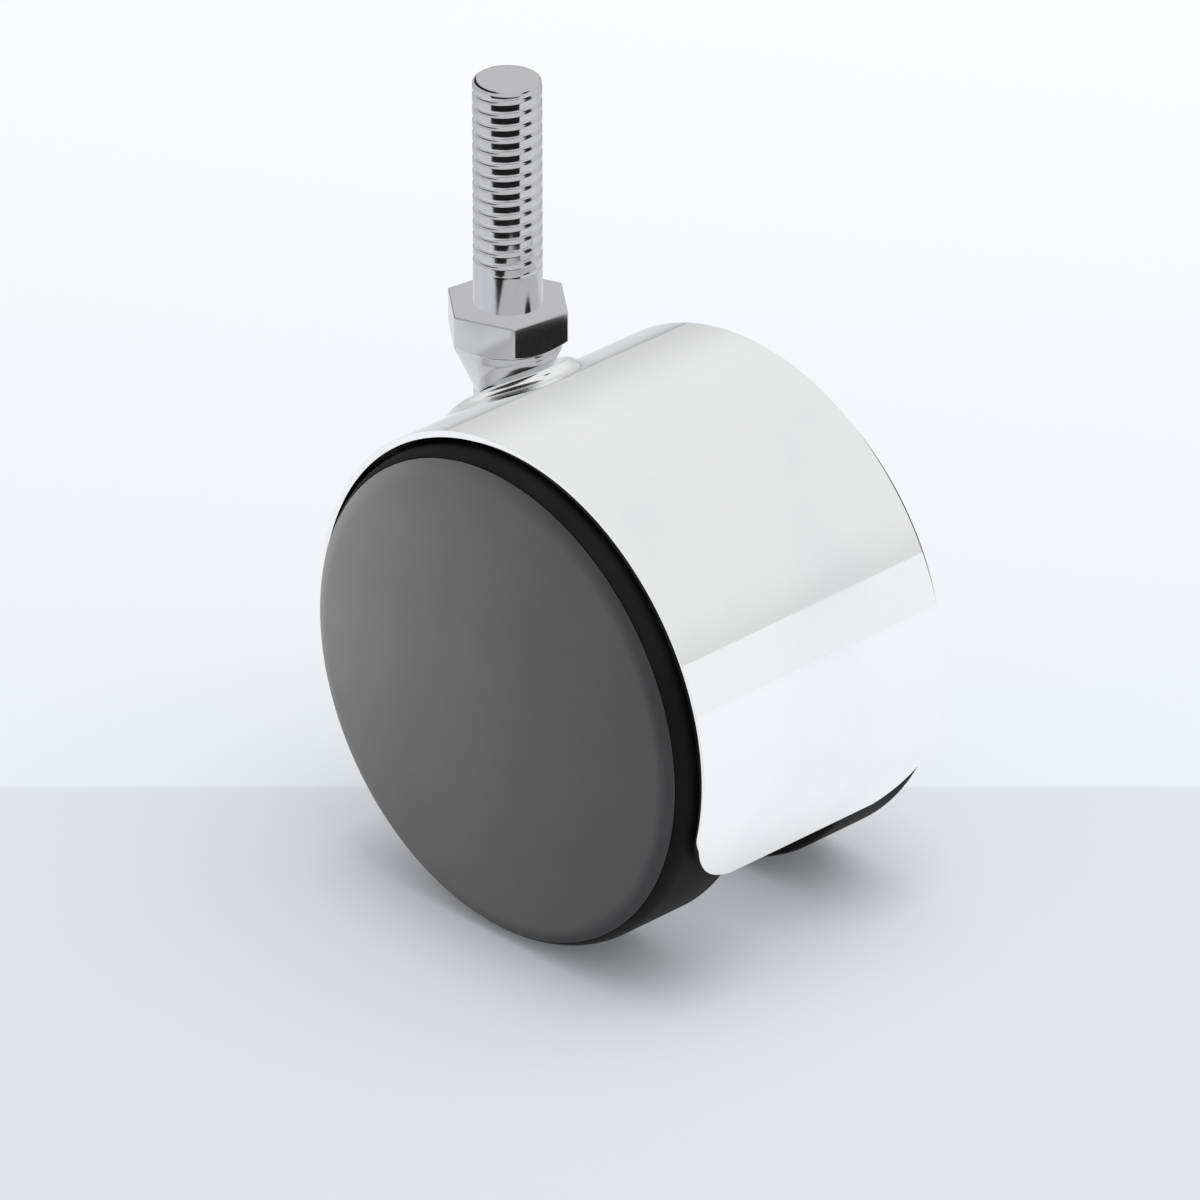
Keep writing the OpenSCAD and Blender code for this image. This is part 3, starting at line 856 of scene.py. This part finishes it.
def add_side(depth, ring_r):
    """Adds the outer or inner side of the sheet and returns the point numbers on its edges."""
    shell_r = hood_r - depth
    grid = {}
    for i, row in enumerate(sheet_places):
        for j, place in enumerate(row):
            within = row_from < i < row_to and column_from < j < column_to
            if not within:
                grid[i, j] = len(points)
                points.append(sheet_point(*place, depth))
    for i in range(len(rows) - 1):
        for j in range(len(columns) - 1):
            if not (row_from <= i < row_to and column_from <= j < column_to):
                faces.append((grid[i, j], grid[i + 1, j], grid[i + 1, j + 1], grid[i, j + 1]))
    ring = [ring_place(r, angle, shell_r) for r, angle in zip(ring_r, ring_angles)]
    slots = [slot_loop(side, shell_r) for side in SIDES.values()]
    edge_loop = [sheet_places[i][j] for i, j in edge_ids]
    inner = [sheet_places[i][j] for i, j in inner_ids]
    places, triangles = fill_patch(edge_loop, [ring] + slots, inner)
    numbers = [grid[place_id] for place_id in edge_ids]
    for place in places[len(edge_ids):]:
        numbers.append(len(points))
        points.append(sheet_point(*place, depth))
    faces.extend(tuple(numbers[t] for t in triangle) for triangle in triangles)
    loops, start = [], len(edge_ids)
    for loop in [ring] + slots:
        loops.append(numbers[start:start + len(loop)])
        start += len(loop)
    last_row, last_column = len(rows) - 1, len(columns) - 1
    border = [grid[0, j] for j in range(last_column)]
    border += [grid[i, last_column] for i in range(last_row)]
    border += [grid[last_row, j] for j in range(last_column, 0, -1)]
    border += [grid[i, 0] for i in range(last_row, 0, -1)]
    return border, loops


def join_loops(first, second):
    for k in range(len(first)):
        after = (k + 1) % len(first)
        faces.append((first[k], first[after], second[after], second[k]))


outer_border, outer_loops = add_side(0, [path[0].x for path in ring_paths])
inner_border, inner_loops = add_side(hood_t, [path[-1].x for path in ring_paths])
join_loops(outer_border, inner_border)
for first, second in zip(outer_loops[1:], inner_loops[1:]):
    join_loops(first, second)
last_ring = outer_loops[0]
for step in range(1, len(ring_paths[0]) - 1):
    ring = []
    for angle, path in zip(ring_angles, ring_paths):
        r, z = path[step]
        ring.append(len(points))
        points.append(Vector((r * math.cos(angle), r * math.sin(angle), z)))
    join_loops(last_ring, ring)
    last_ring = ring
join_loops(last_ring, inner_loops[0])
hood = make_piece("hood_shell", points, faces)
round_edges(hood, 0.36 * MM, 4, 45)
finish_piece(hood, "housing", "chrome_hood", chrome_hood, "hood")

# %% [markdown]
# ## Parts that stay as solids
# The horn, sleeve, ball, axle, washers, clips and bushes are right as solids. They keep their
# meshes and get the finishes made above, chosen by the material slot that the record names.

# %% Dress the solids
finishes = {"core_plastic": core_plastic, "bearing_plastic": bearing_plastic,
            "ground_steel": ground_steel, "spring_steel": spring_steel}
for part in frame["record"]["subparts"]:
    if part["material_slot"] in finishes:
        solid = frame["nodes"][part["node"]]
        solid.data.materials.clear()
        solid.data.materials.append(finishes[part["material_slot"]])
        print(part["node"], "gets", part["material_slot"])

# %% [markdown]
# ## Camera
# The camera looks down at the castor from its left rear. A long lens from far away keeps the
# perspective of the photograph. Its place is given by two angles round the axle and two small
# slides across the view.

# %% Place the camera
LENS, SENSOR = 395.71, 36
CAMERA_AWAY, SLIDE_ACROSS, SLIDE_UP = 1.50195, -0.003413, 0.004416
view_turn, view_rise = math.radians(46.118), math.radians(28.667)
back = Vector((math.sin(view_turn) * math.cos(view_rise),
               -math.cos(view_turn) * math.cos(view_rise), math.sin(view_rise)))
across = Vector((math.cos(view_turn), math.sin(view_turn), 0))
upward = back.cross(across)
camera_data = bpy.data.cameras.new("Camera")
camera_data.lens = LENS
camera_data.sensor_width = SENSOR
camera = bpy.data.objects.new("Camera", camera_data)
bpy.context.scene.collection.objects.link(camera)
pose = Matrix((across, upward, back)).transposed().to_4x4()
pose.translation = axle + back * CAMERA_AWAY + across * SLIDE_ACROSS + upward * SLIDE_UP
camera.matrix_world = pose
bpy.context.scene.camera = camera
print("camera at", [round(c, 4) for c in pose.translation])

# %% [markdown]
# ## Stage
# The castor stands on a pale sheet. A soft line crosses it behind the wheels, where a second
# sheet starts, so the floor's colour follows the distance from the camera. Part of the sheet's
# paleness is a glow that only the camera and reflections see. An Ambient Occlusion node takes that
# glow away under the wheels, so the shadow where they touch the sheet stays dark.

# %% Floor sheet
IMAGE = 1200
LINE_ROW = 787
FLOOR_HALF = 4.0
FLOOR_GLOW = 0.55
NEAR_TONE = (0.745, 0.768, 0.81, 1)
LINE_TONE, TOP_TONE = (0.83, 0.865, 0.895, 1), (0.955, 0.965, 0.99, 1)
MIRROR_TONE = (0.96, 0.97, 0.98, 1)


def floor_distance(row):
    """Distance behind the axle, along the view, of the floor seen in a row of the image."""
    half = camera_data.sensor_width / 2 / camera_data.lens
    ray = -back + upward * ((0.5 - row / IMAGE) * 2 * half)
    reach = (floor_z - pose.translation.z) / ray.z
    seen = pose.translation + ray * reach
    return (seen - axle).dot(-Vector((back.x, back.y, 0)).normalized())


floor_mesh = bpy.data.meshes.new("floor")
floor_mesh.from_pydata([(-FLOOR_HALF, -FLOOR_HALF, floor_z), (FLOOR_HALF, -FLOOR_HALF, floor_z),
                        (FLOOR_HALF, FLOOR_HALF, floor_z), (-FLOOR_HALF, FLOOR_HALF, floor_z)],
                       [], [(0, 1, 2, 3)])
floor = bpy.data.objects.new("floor", floor_mesh)
bpy.context.scene.collection.objects.link(floor)
print("floor at", round(floor_z / MM, 3), "mm")

# %% Floor finish
paper, tree, shader, place = new_material("pale_floor")
shader.inputs["Roughness"].default_value = 0.9
shader.inputs["Specular IOR Level"].default_value = 0.1
mapping = tree.nodes.new("ShaderNodeMapping")
mapping.inputs["Rotation"].default_value = (0, 0, -view_turn)
tree.links.new(place, mapping.inputs["Vector"])
split = tree.nodes.new("ShaderNodeSeparateXYZ")
tree.links.new(mapping.outputs[0], split.inputs[0])
axle_away = (Matrix.Rotation(-view_turn, 3, "Z") @ axle).y
line_at = axle_away + floor_distance(LINE_ROW)
top_at = axle_away + floor_distance(0)
far_tone = mix_colour(tree, map_range(tree, split.outputs["Y"], line_at, top_at, 0.0, 1.0),
                      LINE_TONE, TOP_TONE)
step = map_range(tree, split.outputs["Y"], line_at - 0.5 * MM, line_at + 0.5 * MM, 0.0, 1.0, True)
tone = mix_colour(tree, step, NEAR_TONE, far_tone)
floor_rays = tree.nodes.new("ShaderNodeLightPath")
seen_tone = mix_colour(tree, floor_rays.outputs["Is Glossy Ray"], tone, MIRROR_TONE)
tree.links.new(seen_tone, shader.inputs["Emission Color"])
dim = tree.nodes.new("ShaderNodeVectorMath")
dim.operation = "SCALE"
tree.links.new(tone, dim.inputs[0])
dim.inputs["Scale"].default_value = 1 - FLOOR_GLOW
tree.links.new(dim.outputs[0], shader.inputs["Base Color"])
contact = tree.nodes.new("ShaderNodeAmbientOcclusion")
contact.samples = 3
contact.inputs["Distance"].default_value = 0.012
open_floor = map_range(tree, contact.outputs["AO"], 0.15, 0.85, 0.2 * FLOOR_GLOW, FLOOR_GLOW)
glow = math_node(tree, "MULTIPLY", floor_rays.outputs["Is Camera Ray"], open_floor)
mirror_glow = map_range(tree, split.outputs["Y"], axle_away + 0.03, axle_away + 0.2,
                        FLOOR_GLOW + 0.1, 0.3)
glow = math_node(tree, "MULTIPLY_ADD", floor_rays.outputs["Is Glossy Ray"], mirror_glow, glow)
tree.links.new(glow, shader.inputs["Emission Strength"])
floor_mesh.materials.append(paper)
print("line on the floor", round((line_at - axle_away) / MM, 1), "mm behind the axle")

# %% [markdown]
# Chrome is only as good as what it reflects. The sky is a soft gradient to reflections and dimmer
# as a light. A few dark cards stand where a photographer's room is dark: on the floor in front of
# the camera, above the hexagon and above the collar, and one pale card brightens the lower hood.
# Reflections alone see the cards, and the two in the air fade out at their edges.

# %% Sky
world = bpy.data.worlds.new("Studio")
bpy.context.scene.world = world
world.use_nodes = True
sky = world.node_tree
background = sky.nodes["Background"]
rays = sky.nodes.new("ShaderNodeLightPath")
direction = sky.nodes.new("ShaderNodeSeparateXYZ")
sky.links.new(sky.nodes.new("ShaderNodeTexCoord").outputs["Generated"], direction.inputs[0])
mirrored = math_node(sky, "MAXIMUM", rays.outputs["Is Glossy Ray"], rays.outputs["Is Transmission Ray"])
SKY_LIGHT, SKY_LOW, SKY_HIGH = 0.45, 0.7, 0.9
mirror_level = map_range(sky, direction.outputs["Z"], 0.0, 0.55, SKY_LOW, SKY_HIGH, True)
level = mix_colour(sky, mirrored, (SKY_LIGHT, SKY_LIGHT, SKY_LIGHT * 1.02, 1), mirror_level)
sky.links.new(mix_colour(sky, rays.outputs["Is Camera Ray"], level, (0.9, 0.92, 0.95, 1)),
              background.inputs["Color"])
print("sky", SKY_LIGHT, "as a light and", SKY_LOW, "to", SKY_HIGH, "in reflections")

# %% Card helpers
def soften_card(tree, shader, corners, tint):
    """Lets a card fade to the sky's level toward its edges."""
    middle = sum(corners, Vector()) / 4
    place = tree.nodes.new("ShaderNodeTexCoord").outputs["Object"]
    reach = 0.0
    for half in ((corners[1] + corners[2]) / 2 - middle, (corners[2] + corners[3]) / 2 - middle):
        offset = tree.nodes.new("ShaderNodeVectorMath")
        offset.operation = "SUBTRACT"
        tree.links.new(place, offset.inputs[0])
        offset.inputs[1].default_value = middle
        share = tree.nodes.new("ShaderNodeVectorMath")
        share.operation = "DOT_PRODUCT"
        tree.links.new(offset.outputs[0], share.inputs[0])
        share.inputs[1].default_value = half / half.length_squared
        reach = math_node(tree, "MULTIPLY_ADD", share.outputs["Value"], share.outputs["Value"], reach)
    edge = map_range(tree, math_node(tree, "SQRT", reach), 0.75, 1.0, 0.0, 1.0, True)
    level = (SKY_HIGH, SKY_HIGH, SKY_HIGH, 1)
    tree.links.new(mix_colour(tree, edge, (*tint, 1), level), shader.inputs["Emission Color"])


def add_card(name, corners, tint, soft=False):
    mesh = bpy.data.meshes.new(name)
    mesh.from_pydata([tuple(c) for c in corners], [], [(0, 1, 2, 3)])
    card = bpy.data.objects.new(name, mesh)
    bpy.context.scene.collection.objects.link(card)
    paint = bpy.data.materials.new(name)
    paint.use_nodes = True
    shader = paint.node_tree.nodes["Principled BSDF"]
    shader.inputs["Base Color"].default_value = (0, 0, 0, 1)
    shader.inputs["Specular IOR Level"].default_value = 0
    shader.inputs["Emission Color"].default_value = (*tint, 1)
    shader.inputs["Emission Strength"].default_value = 1
    if soft:
        soften_card(paint.node_tree, shader, corners, tint)
    mesh.materials.append(paint)
    card.visible_camera = False
    card.visible_diffuse = False
    card.visible_transmission = False
    card.visible_shadow = False
    return card


# %% Place the cards
DARK, PALE = (0.02, 0.02, 0.02), (0.965, 0.972, 0.98)
toward = Vector((back.x, back.y, 0)).normalized()
front_floor = Vector((0, 0, floor_z + 0.3 * MM))
left_slope, right_slope = math.tan(math.radians(54)), math.tan(math.radians(41))
NEAR, FAR = 0.105, 1.6
add_card("front_floor_card",
         [front_floor + toward * NEAR - across * NEAR * left_slope,
          front_floor + toward * NEAR + across * NEAR * right_slope,
          front_floor + toward * FAR + across * FAR * right_slope,
          front_floor + toward * FAR - across * FAR * left_slope], DARK)
away = Vector((0.777, 0.629, 0))
along = Vector((-0.629, 0.777, 0))
low_foot = away * 0.9 + Vector((0, 0, floor_z))
low_rise = Vector((0, 0, 0.265))
low_half = along * 0.5
add_card("low_card", [low_foot - low_half, low_foot + low_half,
                      low_foot + low_half + low_rise, low_foot - low_half + low_rise], PALE)
flag = Vector((0.24, 0.205, 0.4))
flag_x, flag_y = Vector((0.2, 0, 0)), Vector((0, 0.115, 0))
add_card("hexagon_flag", [flag - flag_x - flag_y, flag + flag_x - flag_y,
                          flag + flag_x + flag_y, flag - flag_x + flag_y], DARK, True)

slope = Vector((-axle.x, 0, -axle.z - 11.5 * MM)).normalized()
cross = slope.cross(back).normalized()
flag_corners = [(-0.2, 0.6), (0.55, 0.6), (0.3, -1.0), (-0.35, -1.0)]
FLAG_AWAY = 0.8
add_card("collar_flag", [(slope + cross * a + back * b) * FLAG_AWAY for a, b in flag_corners],
         DARK, True)

# %% [markdown]
# One wide lamp above lights the castor. The covers have a small lamp each instead, close by their
# front edge, so that the light falls off across the disc. Light linking, a list of the pieces that
# a lamp reaches or leaves out, keeps those lamps off the tyres and the chrome.

# %% Lamps
def add_lamp(name, place, target, size, power):
    lamp_data = bpy.data.lights.new(name, "AREA")
    lamp_data.size = size
    lamp_data.energy = power
    lamp = bpy.data.objects.new(name, lamp_data)
    bpy.context.scene.collection.objects.link(lamp)
    lamp.location = place
    lamp.rotation_mode = "QUATERNION"
    lamp.rotation_quaternion = (target - place).to_track_quat("-Z", "Y")
    lamp.visible_camera = False
    lamp.visible_glossy = False
    return lamp


TOP_SIZE, TOP_WATTS = 1.0, 9.0
SIDE_SIZE, SIDE_WATTS = 0.03, 0.07
top_lamp = add_lamp("Top", axle + Vector((0, 0, 1)) + across * 0.25, axle, TOP_SIZE, TOP_WATTS)
cover_lit = bpy.data.collections.new("Lit from the side")
not_top_lit = bpy.data.collections.new("Not lit from above")
for label, side in SIDES.items():
    cover = bpy.data.objects[f"{label}_cover_disc"]
    cover_lit.objects.link(cover)
    not_top_lit.objects.link(cover)
    side_lamp = add_lamp(f"Side {label}", Vector((-0.045, side * 0.06, -0.022)),
                         Vector((0.002, side * 0.02, -0.034)), SIDE_SIZE, SIDE_WATTS)
    side_lamp.light_linking.receiver_collection = cover_lit
for member in not_top_lit.collection_objects:
    member.light_linking.link_state = "EXCLUDE"
top_lamp.light_linking.receiver_collection = not_top_lit
bpy.context.scene.view_settings.view_transform = "Standard"
print("lamps", [light.name for light in bpy.data.lights])
